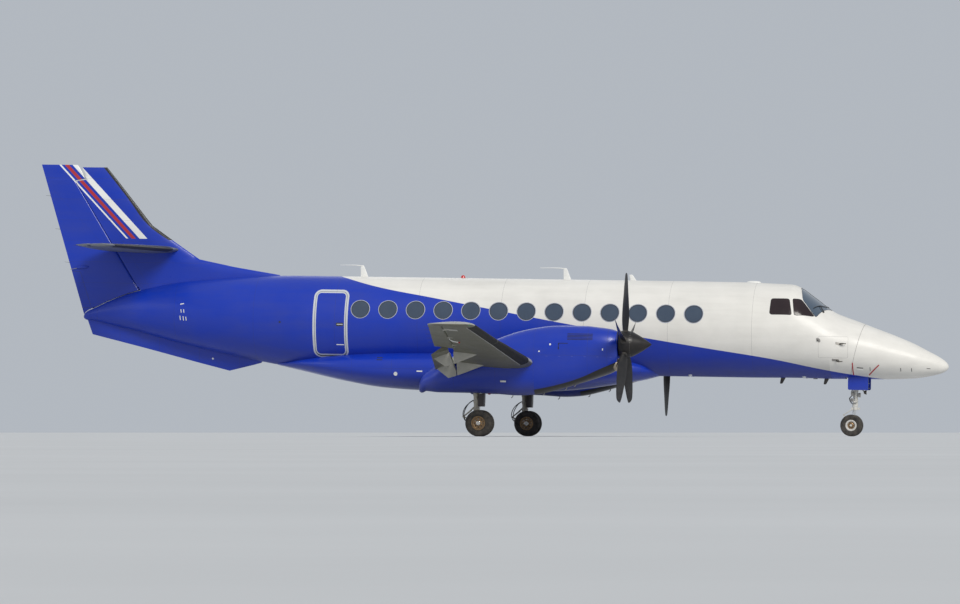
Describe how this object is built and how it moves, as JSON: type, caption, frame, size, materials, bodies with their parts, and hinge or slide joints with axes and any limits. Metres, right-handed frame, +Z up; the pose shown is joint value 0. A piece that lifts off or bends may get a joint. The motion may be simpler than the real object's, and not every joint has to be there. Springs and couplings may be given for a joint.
{
  "type": "twin-turboprop regional airliner",
  "caption": "Low-wing twin-turboprop regional airliner on tricycle landing gear, with working control surfaces, flaps, propellers, wheels, nose steering and doors.",
  "frame": {"origin": "on the ground, under the middle of the overall box", "axes": "+X to the nose, +Y to port, +Z up; the aircraft stands 1.02 degrees nose-down, as it parks"},
  "size_m": [19.1939, 18.29, 5.7385],
  "materials": {
    "white_and_blue_paint": "gloss two-colour paint, white above, royal blue below and aft",
    "blue_paint": "gloss royal blue paint",
    "grey_paint": "satin grey paint, black rubber boots on the leading edges",
    "dark_glass": "clear laminated glazing over a dark flight deck",
    "black_blade": "satin black composite, worn along the leading edges",
    "engine_metal": "plain metal block",
    "gear_steel": "pale painted forgings with polished pistons",
    "tyre_rubber": "black rubber, scuffed",
    "bronze_rim": "brake-dusted bronze-tinted alloy",
    "pale_rim": "pale painted alloy"
  },
  "bodies": {
    "airframe": {"fuselage": "white_and_blue_paint", "nose_cone": "white_and_blue_paint", "belly_fairing": "blue_paint", "fin": "blue_paint", "ventral_fin": "blue_paint", "engine_cowl_left": "blue_paint", "engine_cowl_right": "blue_paint", "nacelle_left": "blue_paint", "nacelle_right": "blue_paint", "main_gear_door_left": "blue_paint", "main_gear_door_right": "blue_paint", "nose_gear_door_left": "blue_paint", "nose_gear_door_right": "blue_paint", "wing_left": "grey_paint", "wing_right": "grey_paint", "tailplane_left": "grey_paint", "tailplane_right": "grey_paint", "windscreen_left": "dark_glass", "windscreen_right": "dark_glass", "cockpit_front_window_left": "dark_glass", "cockpit_front_window_right": "dark_glass", "cockpit_rear_window_left": "dark_glass", "cockpit_rear_window_right": "dark_glass", "engine_left": "engine_metal", "engine_right": "engine_metal", "main_gear_leg_left": "gear_steel", "main_gear_leg_right": "gear_steel", "main_gear_axle_left": "gear_steel", "main_gear_axle_right": "gear_steel", "nose_gear_leg": "gear_steel"},
    "propeller_left": {"propeller_left": "black_blade", "spinner_left": "black_blade"},
    "main_wheels_left": {"main_tyre_left_outer": "tyre_rubber", "main_tyre_left_inner": "tyre_rubber", "main_rim_left_outer": "bronze_rim", "main_rim_left_inner": "bronze_rim"},
    "propeller_right": {"propeller_right": "black_blade", "spinner_right": "black_blade"},
    "main_wheels_right": {"main_tyre_right_outer": "tyre_rubber", "main_tyre_right_inner": "tyre_rubber", "main_rim_right_outer": "bronze_rim", "main_rim_right_inner": "bronze_rim"},
    "nose_steering": {"nose_gear_axle": "gear_steel"},
    "nose_wheels": {"nose_tyre_left": "tyre_rubber", "nose_tyre_right": "tyre_rubber", "nose_rim_left": "pale_rim", "nose_rim_right": "pale_rim"},
    "rudder": {"rudder": "blue_paint"},
    "aileron_left": {"aileron_left": "grey_paint"},
    "flap_inboard_left": {"flap_inboard_left": "grey_paint"},
    "flap_outboard_left": {"flap_outboard_left": "grey_paint"},
    "elevator_left": {"elevator_left": "grey_paint"},
    "aileron_right": {"aileron_right": "grey_paint"},
    "flap_inboard_right": {"flap_inboard_right": "grey_paint"},
    "flap_outboard_right": {"flap_outboard_right": "grey_paint"},
    "elevator_right": {"elevator_right": "grey_paint"},
    "passenger_door": {"passenger_door": "white_and_blue_paint"},
    "baggage_door": {"baggage_door": "white_and_blue_paint"},
    "rear_door": {"rear_door": "white_and_blue_paint"}
  },
  "joints": [
    {"name": "propeller_left_spin", "type": "hinge", "parent": "airframe", "child": "propeller_left", "pos_m": [3.30341, 3.085, 1.87621], "axis": [0.9998, 0, -0.0178], "continuous": true},
    {"name": "main_wheels_left_roll", "type": "hinge", "parent": "airframe", "child": "main_wheels_left", "pos_m": [0.30434, 3.085, 0.27], "axis": [0, 1, 0], "continuous": true},
    {"name": "propeller_right_spin", "type": "hinge", "parent": "airframe", "child": "propeller_right", "pos_m": [3.30341, -3.085, 1.87621], "axis": [0.9998, 0, -0.0178], "continuous": true},
    {"name": "main_wheels_right_roll", "type": "hinge", "parent": "airframe", "child": "main_wheels_right", "pos_m": [0.30434, -3.085, 0.27], "axis": [0, 1, 0], "continuous": true},
    {"name": "nose_steering_turn", "type": "hinge", "parent": "airframe", "child": "nose_steering", "pos_m": [7.65353, 0, 0.60857], "axis": [0.0485, 0, 0.9988], "range_deg": [-45, 45]},
    {"name": "nose_wheels_roll", "type": "hinge", "parent": "nose_steering", "child": "nose_wheels", "pos_m": [7.5847, 0, 0.225], "axis": [0, 1, 0], "continuous": true},
    {"name": "rudder_hinge", "type": "hinge", "parent": "airframe", "child": "rudder", "pos_m": [-7.53196, 0, 3.07528], "axis": [-0.5111, 0, 0.8595], "range_deg": [-24, 24]},
    {"name": "aileron_left_hinge", "type": "hinge", "parent": "airframe", "child": "aileron_left", "pos_m": [0.19283, 5.86, 1.82318], "axis": [0.0865, 0.989, 0.1199], "range_deg": [-20, 20]},
    {"name": "flap_inboard_left_hinge", "type": "hinge", "parent": "airframe", "child": "flap_inboard_left", "pos_m": [-0.38049, 1.19, 1.02778], "axis": [0.1248, 0.9851, 0.1188], "range_deg": [0, 25]},
    {"name": "flap_outboard_left_hinge", "type": "hinge", "parent": "airframe", "child": "flap_outboard_left", "pos_m": [-0.08029, 3.56, 1.31352], "axis": [0.1248, 0.9851, 0.1188], "range_deg": [0, 25]},
    {"name": "elevator_left_hinge", "type": "hinge", "parent": "airframe", "child": "elevator_left", "pos_m": [-7.85153, 0.1, 3.94511], "axis": [-0.0033, 1, 0.0001], "range_deg": [-18, 24]},
    {"name": "aileron_right_hinge", "type": "hinge", "parent": "airframe", "child": "aileron_right", "pos_m": [0.19283, -5.86, 1.82318], "axis": [-0.0865, 0.989, -0.1199], "range_deg": [-20, 20]},
    {"name": "flap_inboard_right_hinge", "type": "hinge", "parent": "airframe", "child": "flap_inboard_right", "pos_m": [-0.38049, -1.19, 1.02778], "axis": [-0.1248, 0.9851, -0.1188], "range_deg": [0, 25]},
    {"name": "flap_outboard_right_hinge", "type": "hinge", "parent": "airframe", "child": "flap_outboard_right", "pos_m": [-0.08029, -3.56, 1.31352], "axis": [-0.1248, 0.9851, -0.1188], "range_deg": [0, 25]},
    {"name": "elevator_right_hinge", "type": "hinge", "parent": "airframe", "child": "elevator_right", "pos_m": [-7.85153, -0.1, 3.94511], "axis": [0.0033, 1, -0.0001], "range_deg": [-18, 24]},
    {"name": "passenger_door_hinge", "type": "hinge", "parent": "airframe", "child": "passenger_door", "pos_m": [5.24751, 0.722, 1.52754], "axis": [-0.9998, 0, 0.0178], "range_deg": [0, 100]},
    {"name": "baggage_door_hinge", "type": "hinge", "parent": "airframe", "child": "baggage_door", "pos_m": [-3.8915, 0.722, 3.06848], "axis": [0.9998, 0, -0.0178], "range_deg": [0, 95]},
    {"name": "rear_door_hinge", "type": "hinge", "parent": "airframe", "child": "rear_door", "pos_m": [-3.20233, -0.75, 3.0162], "axis": [-0.9998, 0, 0.0178], "range_deg": [0, 95]}
  ],
  "couplings": [
    {"joint": "aileron_right_hinge", "follows": "aileron_left_hinge", "ratio": -1},
    {"joint": "elevator_right_hinge", "follows": "elevator_left_hinge", "ratio": 1},
    {"joint": "flap_inboard_right_hinge", "follows": "flap_inboard_left_hinge", "ratio": 1},
    {"joint": "flap_outboard_left_hinge", "follows": "flap_inboard_left_hinge", "ratio": 1},
    {"joint": "flap_outboard_right_hinge", "follows": "flap_inboard_left_hinge", "ratio": 1}
  ]
}
